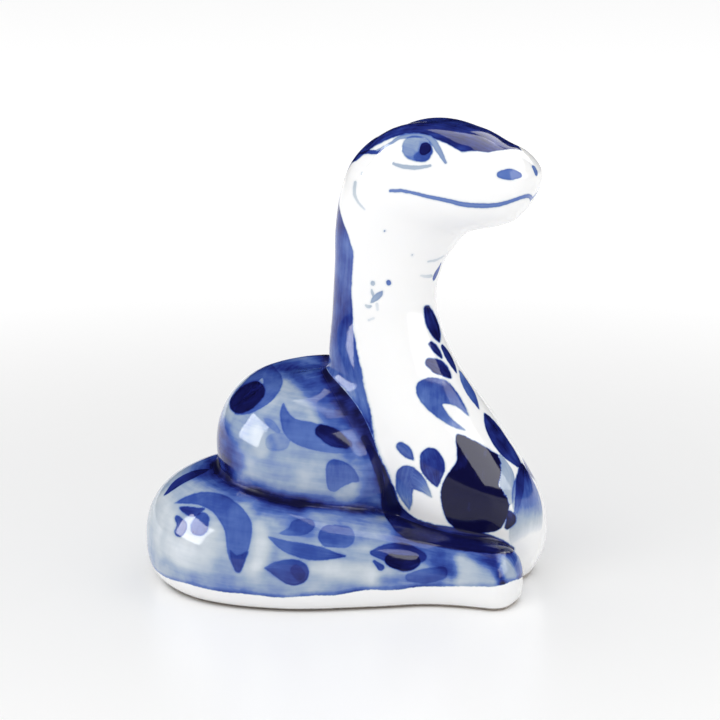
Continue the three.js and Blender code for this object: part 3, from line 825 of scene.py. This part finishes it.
def wantedLength(paint, coilSide):
    # length that the mesh needs at each point: the shortest near a painted edge, and growing from there
    crisp = np.minimum(np.abs(paint["leaf"]["edge"]), np.abs(paint["over"]["edge"]))
    crisp = np.minimum(crisp, np.abs(coilSide))

    def grown(edge, shortest, growth, reach):
        return shortest + growth * np.maximum(edge - reach, 0)

    return np.minimum(grown(crisp, *skinSettings["brushEdge"]),
                      grown(np.abs(paint["line"]["edge"]), *skinSettings["thinLine"]))


def skinOf(field):
    # quads along the nought of the distances, on a coarser block of points, cut into triangles
    step = skinSettings["step"]
    low = latticeLow + skinSettings["margin"]
    high = latticeLow + latticeStep * latticeLast - skinSettings["margin"]
    count = np.floor((high - low) / step).astype(int)
    axes = [low[i] + step * np.arange(count[i]) for i in range(3)]
    block = np.stack(np.meshgrid(*axes, indexing="ij"), axis=-1).reshape(-1, 3)
    values = np.concatenate([roughly(field, part) for part in np.array_split(block, 8)])
    grid = vdb.FloatGrid(lattice["band"] * latticeStep)
    grid.copyFromArray(np.ascontiguousarray(values.reshape(count), np.float32))
    grid.transform = vdb.createLinearTransform(voxelSize=step)
    points, quads = grid.convertToQuads(isovalue=0.0)
    points = points.astype(float) + low
    quads = quads.astype(np.int64)
    across = np.linalg.norm(points[quads[:, 0]] - points[quads[:, 2]], axis=1)
    short = across < np.linalg.norm(points[quads[:, 1]] - points[quads[:, 3]], axis=1)
    faces = np.concatenate([quads[short][:, [0, 1, 2]], quads[short][:, [0, 2, 3]],
                            quads[~short][:, [0, 1, 3]], quads[~short][:, [1, 2, 3]]])
    return points, outwards(points, faces)


def outwards(points, faces):
    # faces turned over where the closed mesh would hold a negative volume
    a, b, c = points[faces[:, 0]], points[faces[:, 1]], points[faces[:, 2]]
    volume = (a * np.cross(b, c)).sum() / 6
    return faces if volume > 0 else faces[:, ::-1]


def edgesOf(faces):
    # every edge once, and the three edges of each face
    pairs = np.sort(faces[:, [0, 1, 1, 2, 2, 0]].reshape(-1, 2), axis=1)
    edges, index = np.unique(pairs, axis=0, return_inverse=True)
    return edges, index.reshape(-1, 3)


def evened(points, faces, field):
    # each point moved half-way to the middle of its neighbours, then back onto the surface
    edges, _ = edgesOf(faces)
    both = np.concatenate([edges, edges[:, ::-1]])
    total = np.bincount(both[:, 0], minlength=len(points)).astype(float)
    for _ in range(3):
        mean = np.stack([np.bincount(both[:, 0], points[both[:, 1], i], len(points)) for i in range(3)], 1)
        points = ontoSurface(field, (points + mean / total[:, None]) / 2, 1)
    return ontoSurface(field, points, 3)


def refined(points, faces, wanted, field):
    # edges longer than wanted get a middle point on the surface, and each face is split to match
    edges, index = edgesOf(faces)
    length = np.linalg.norm(points[edges[:, 0]] - points[edges[:, 1]], axis=1)
    split = length > skinSettings["slack"] * np.minimum(wanted[edges[:, 0]], wanted[edges[:, 1]])
    middle = np.full(len(edges), -1)
    middle[split] = len(points) + np.arange(split.sum())
    added = ontoSurface(field, (points[edges[split, 0]] + points[edges[split, 1]]) / 2)
    m = middle[index]
    count = (m >= 0).sum(axis=1)
    # turned so that one split edge comes first, or the whole edge of a face with two comes last
    after = (np.argmin(m, axis=1) + 1) % 3
    first = np.where(count == 1, np.argmax(m >= 0, axis=1), np.where(count == 2, after, 0))
    turned = (np.arange(3)[None] + first[:, None]) % 3
    corners = np.concatenate([np.take_along_axis(faces, turned, 1), np.take_along_axis(m, turned, 1)], 1)
    parts = [corners[count == n][:, cut] for n, cuts in faceCuts.items() for cut in cuts]
    return np.concatenate([points, added]), np.concatenate(parts)


bodyFields, frameShift = buildBodies()
wholeField = joinBodies(bodyFields)
skinPoints, skinFaces = skinOf(wholeField)
skinPoints = evened(skinPoints, skinFaces, wholeField)
print("skin:", len(skinPoints), "points", len(skinFaces), "faces")
for _ in range(skinSettings["rounds"]):
    paint, wash, foot, grain, coilSide = paintAt(skinPoints)
    skinPoints, skinFaces = refined(skinPoints, skinFaces, wantedLength(paint, coilSide), wholeField)
    print("refined:", len(skinPoints), "points", len(skinFaces), "faces")
paint, wash, foot, grain, coilSide = paintAt(skinPoints)
print("painted")


def makeFigurine():
    mesh = bpy.data.meshes.new("porcelain_snake")
    points = skinPoints.copy()
    points[:, 2] = np.maximum(points[:, 2], 0)
    mesh.vertices.add(len(points))
    mesh.vertices.foreach_set("co", (points * millimetre).astype(np.float32).ravel())
    mesh.loops.add(3 * len(skinFaces))
    mesh.loops.foreach_set("vertex_index", skinFaces.astype(np.int32).ravel())
    mesh.polygons.add(len(skinFaces))
    mesh.polygons.foreach_set("loop_start", np.arange(0, 3 * len(skinFaces), 3, dtype=np.int32))
    mesh.update(calc_edges=True)
    mesh.validate()
    mesh.shade_smooth()
    numbers = {"footEdge": foot, "wash": wash, "coilSide": coilSide}
    for coat in coats:
        numbers[coat + "Edge"] = paint[coat]["edge"]
        numbers[coat + "Ink"] = paint[coat]["ink"]
    for name, values in numbers.items():
        mesh.attributes.new(name, "FLOAT", "POINT").data.foreach_set("value", values.astype(np.float32))
    vectors = {"grain": grain, "leafBrush": paint["leaf"]["brush"], "overBrush": paint["over"]["brush"]}
    for name, values in vectors.items():
        layer = mesh.attributes.new(name, "FLOAT_VECTOR", "POINT")
        layer.data.foreach_set("vector", values.astype(np.float32).ravel())
    mesh.normals_split_custom_set_from_vertices(unit(smoothly(wholeField, skinPoints)[1]))
    figurine = bpy.data.objects.new("porcelain_snake", mesh)
    bpy.context.scene.collection.objects.link(figurine)
    return figurine


figurine = makeFigurine()
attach(figurine, "root")
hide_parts("snake_figurine")


# the glazed porcelain

glaze = {
    # cobalt from none to thickest, as display colours 0 to 255
    "cobalt": [(0.0, (243, 243, 243)), (0.1, (217, 222, 228)), (0.2, (187, 197, 207)),
               (0.33, (147, 165, 192)),
               (0.47, (90, 117, 182)), (0.62, (56, 81, 158)), (0.76, (37, 50, 128)), (0.9, (22, 26, 86)),
               (1.0, (15, 15, 56))],
    "bare": (214, 200, 184),
    # colour of the painted contact shadow, a thin dark line low on the foot
    "paintedContactShadow": (70, 56, 50),
    # noise scale, detail and how many mm it moves an edge: of every coat, and of the brush coats too
    "wobble": (1900.0, 3.0, 0.16),
    "sway": (520.0, 2.0, 0.26),
    "softness": {"leaf": 0.14, "over": 0.15, "line": 0.08},  # mm over which the edge of a coat fades
    "rim": 0.12,  # ink added just inside the edge of a stroke
    "halo": 0.16,  # share of the ink that bleeds just past the edge
    "footRim": 0.55,
    "rippleHeight": 0.00022,
    "pitHeight": 0.000006,
    "roughness": 0.06,
    "creaseRoughness": 0.26,  # added in the creases, where the glaze gathers
    "bareRoughness": 0.6,
}


def linear(colour):
    # display colour 0 to 255 to the renderer's straight scale
    values = [c / 255 for c in colour]
    return [c / 12.92 if c <= 0.04045 else ((c + 0.055) / 1.055) ** 2.4 for c in values] + [1.0]


class Nodes:
    # short ways to add and join the nodes of one material

    def __init__(self, tree):
        self.tree = tree
        tree.nodes.clear()

    def add(self, kind, inputs, **settings):
        node = self.tree.nodes.new(kind)
        for name, value in settings.items():
            setattr(node, name, value)
        for name, value in inputs.items():
            if isinstance(value, bpy.types.NodeSocket):
                self.tree.links.new(value, node.inputs[name])
            else:
                node.inputs[name].default_value = value
        return node

    def attribute(self, name):
        node = self.add("ShaderNodeAttribute", {}, attribute_name=name)
        return node.outputs["Vector"] if name in ("grain", "leafBrush", "overBrush") else node.outputs["Fac"]

    def math(self, operation, *values):
        return self.add("ShaderNodeMath", dict(enumerate(values)), operation=operation).outputs[0]

    def times(self, a, b):
        return self.math("MULTIPLY", a, b)

    def plus(self, a, b):
        return self.math("ADD", a, b)

    def range(self, value, fromLow, fromHigh, toLow=0.0, toHigh=1.0, shape="SMOOTHSTEP"):
        node = self.add("ShaderNodeMapRange", {"Value": value, "From Min": fromLow, "From Max": fromHigh,
                                               "To Min": toLow, "To Max": toHigh}, interpolation_type=shape)
        return node.outputs["Result"]

    def noise(self, vector, scale, detail=2.0, roughness=0.5, stretch=(1.0, 1.0, 1.0)):
        if stretch != (1.0, 1.0, 1.0):
            vector = self.add("ShaderNodeMapping", {"Vector": vector, "Scale": stretch}).outputs[0]
        return self.add("ShaderNodeTexNoise", {"Vector": vector, "Scale": scale, "Detail": detail,
                                               "Roughness": roughness}).outputs[0]

    def mix(self, share, low, high):
        return self.add("ShaderNodeMix", {0: share, 6: low, 7: high}, data_type="RGBA").outputs[2]


def makePorcelain():
    material = bpy.data.materials.new("cobalt_under_glaze")
    material.use_nodes = True
    n = Nodes(material.node_tree)
    place = n.add("ShaderNodeTexCoord", {}).outputs["Object"]

    def moved(scale, detail, reach):
        return n.times(n.math("SUBTRACT", n.noise(place, scale, detail), 0.5), reach)

    wobble = moved(*glaze["wobble"])
    sway = moved(*glaze["sway"])
    pooled = n.range(n.noise(place, 430.0, 3.0), 0.32, 0.68, 0.88, 1.1, "LINEAR")

    def coat(name, brush):
        # ink inside the edge of the coat, streaked along the brush, a little thicker at the rim
        edge = n.plus(n.attribute(name + "Edge"), n.plus(wobble, sway) if brush else wobble)
        inside = n.range(edge, glaze["softness"][name], -glaze["softness"][name])
        ink = n.attribute(name + "Ink")
        if brush:
            streak = n.noise(n.attribute(name + "Brush"), 1.0, 3.0, 0.55, (2.6, 0.35, 1.0))
            ink = n.times(ink, n.times(pooled, n.range(streak, 0.3, 0.7, 0.9, 1.08, "LINEAR")))
        rim = n.times(n.range(edge, -0.3, -0.03), n.times(ink, glaze["rim"]))
        halo = n.times(n.range(edge, 0.3, -0.02), n.times(ink, glaze["halo"]))
        return n.math("MAXIMUM", n.times(inside, n.plus(ink, rim)), halo)

    def over(low, high):
        # two inks on top of each other: 1 - (1 - a) * (1 - b)
        return n.math("SUBTRACT", 1.0, n.times(n.math("SUBTRACT", 1.0, low), n.math("SUBTRACT", 1.0, high)))

    # the wash: brushed along the body, cloudy, ending in a slightly darker rim above the foot
    brushed = n.noise(n.attribute("grain"), 1.0, 4.0, 0.62, (0.22, 1.7, 1.0))
    cloudy = n.noise(place, 260.0, 3.0)
    uneven = n.times(n.range(brushed, 0.28, 0.72, 0.9, 1.1, "LINEAR"),
                     n.range(cloudy, 0.3, 0.7, 0.72, 1.28, "LINEAR"))
    footEdge = n.plus(n.attribute("footEdge"), n.times(wobble, 1.4))
    washed = n.times(n.times(n.attribute("wash"), uneven), n.range(footEdge, -0.08, 0.1))
    washed = n.times(washed, n.range(n.attribute("coilSide"), -0.06, 0.06))
    footRim = n.times(n.range(footEdge, 0.7, 0.05), n.range(footEdge, -0.05, 0.08))
    ink = n.plus(washed, n.times(footRim, n.times(washed, glaze["footRim"])))
    for name in coats:
        ink = over(ink, coat(name, name != "line"))
    ramp = n.add("ShaderNodeValToRGB", {"Fac": ink})
    stops = ramp.color_ramp.elements
    while len(stops) < len(glaze["cobalt"]):
        stops.new(0.5)
    for stop, (position, colour) in zip(stops, glaze["cobalt"]):
        stop.position = position
        stop.color = linear(colour)

    # the ground-off foot: bare body under the glaze's edge, and a thin dark line of painted contact shadow
    # where they meet, by the floor
    height = n.add("ShaderNodeSeparateXYZ", {"Vector": place}).outputs["Z"]
    height = n.plus(n.times(height, 1000.0), n.times(wobble, 0.8))
    bare = n.range(height, 0.3, 0.22)
    # painted contact shadow: a thin dark band just above the bare foot
    paintedContactShadow = n.times(n.range(height, 0.48, 0.34), n.range(height, 0.16, 0.26))
    colour = n.mix(bare, ramp.outputs["Color"], linear(glaze["bare"]))
    colour = n.mix(n.times(paintedContactShadow, 0.75), colour, linear(glaze["paintedContactShadow"]))

    relief = n.plus(n.times(n.noise(place, 150.0), glaze["rippleHeight"]),
                    n.times(n.noise(place, 900.0), glaze["pitHeight"]))
    bump = n.add("ShaderNodeBump", {"Height": relief, "Strength": 0.35, "Distance": 1.0})
    sheen = n.range(cloudy, 0.3, 0.7, glaze["roughness"], glaze["roughness"] + 0.03, "LINEAR")
    inCrease = n.times(n.range(n.attribute("wash"), 0.74, 0.9), n.range(n.attribute("coilSide"), -0.4, 0.1))
    glossy = n.plus(sheen, n.times(inCrease, glaze["creaseRoughness"]))
    shader = n.add("ShaderNodeBsdfPrincipled", {
        "Base Color": colour, "Roughness": n.range(bare, 0.0, 1.0, glossy, glaze["bareRoughness"], "LINEAR"),
        "IOR": 1.37, "Specular IOR Level": n.range(inCrease, 0.0, 1.0, 0.5, 0.12, "LINEAR"),
        "Normal": bump.outputs[0], "Subsurface Weight": 0.25, "Subsurface Radius": (1.0, 0.95, 0.85),
        "Subsurface Scale": 0.0012})
    n.add("ShaderNodeOutputMaterial", {"Surface": shader.outputs[0]})
    return material


figurine.data.materials.append(makePorcelain())
print("glazed")


# plain pale floor, soft lights and the camera

studio = {
    "floorHalf": 3.0,
    "floor": (250, 250, 250),
    "floorGlow": 0.36,  # the far floor is lit up to plain white
    "glowFrom": 0.05,
    "glowTo": 0.3,
    "sky": 0.93,  # lights the surfaces only: in the glaze the room is dark
    "middle": (0.0, 0.0, 0.025),
    # turn, elevation, distance, width, height in metres, brightness; these show in the glaze alone
    "glazeBoxes": {
        "leftBox": (-84.0, 23.0, 0.6, 0.38, 0.34, 12.0),
        "rightBox": (63.0, 27.0, 0.55, 0.46, 0.34, 5.4),
        "topBox": (118.0, 60.0, 0.6, 0.56, 0.46, 3.6),
        "backBox": (151.0, 32.0, 0.8, 0.3, 0.3, 2.4),
    },
    # the same for the soft light that only lights the surface
    "softBoxes": {"keyBox": (-25.0, 50.0, 0.9, 0.9, 0.7, 1.15)},
}
white = (1.0, 1.0, 1.0, 1.0)


def makeFloor():
    half = studio["floorHalf"]
    mesh = bpy.data.meshes.new("floor")
    corners = [(-half, -half, 0), (half, -half, 0), (half, half, 0), (-half, half, 0)]
    mesh.from_pydata(corners, [], [(0, 1, 2, 3)])
    floor = bpy.data.objects.new("floor", mesh)
    bpy.context.scene.collection.objects.link(floor)
    material = bpy.data.materials.new("white_board")
    material.use_nodes = True
    n = Nodes(material.node_tree)
    place = n.add("ShaderNodeTexCoord", {}).outputs["Object"]
    away = n.add("ShaderNodeVectorMath", {0: place}, operation="LENGTH").outputs["Value"]
    glow = n.range(away, studio["glowFrom"], studio["glowTo"], 0.0, studio["floorGlow"])
    shader = n.add("ShaderNodeBsdfPrincipled", {
        "Base Color": linear(studio["floor"]), "Roughness": 0.3, "IOR": 1.25,
        "Emission Color": white, "Emission Strength": glow})
    n.add("ShaderNodeOutputMaterial", {"Surface": shader.outputs[0]})
    mesh.materials.append(material)


def makeLights():
    world = bpy.data.worlds.new("studio")
    bpy.context.scene.world = world
    world.use_nodes = True
    n = Nodes(world.node_tree)
    shade = n.add("ShaderNodeBackground", {"Color": white, "Strength": studio["sky"]})
    n.add("ShaderNodeOutputWorld", {"Surface": shade.outputs[0]})
    world.cycles_visibility.glossy = False
    boxes = {**studio["glazeBoxes"], **studio["softBoxes"]}
    for name, (turn, elevation, distance, width, height, bright) in boxes.items():
        light = bpy.data.lights.new(name, "AREA")
        light.shape = "RECTANGLE"
        light.size = width
        light.size_y = height
        light.energy = bright * math.pi * width * height
        lamp = bpy.data.objects.new(name, light)
        away = Vector(viewAxes(turn, elevation)[2])
        lamp.location = Vector(studio["middle"]) + away * distance
        lamp.rotation_euler = away.to_track_quat("Z", "Y").to_euler()
        lamp.visible_diffuse = name in studio["softBoxes"]
        lamp.visible_glossy = name in studio["glazeBoxes"]
        lamp.visible_camera = False
        bpy.context.scene.collection.objects.link(lamp)


def makeCamera():
    camera = bpy.data.cameras.new("camera")
    camera.lens = photoView["lens"]
    camera.sensor_width = photoView["sensor"]
    camera.clip_start = 0.01
    eye = bpy.data.objects.new("camera", camera)
    back = Vector(viewAxes(*views["front"])[2])
    eye.location = (Vector(photoView["target"]) + back * photoView["distance"]) * millimetre
    eye.rotation_euler = back.to_track_quat("Z", "Y").to_euler()
    bpy.context.scene.collection.objects.link(eye)
    bpy.context.scene.camera = eye


makeFloor()
makeLights()
makeCamera()
bpy.context.scene.view_settings.view_transform = "Standard"
print("studio ready")
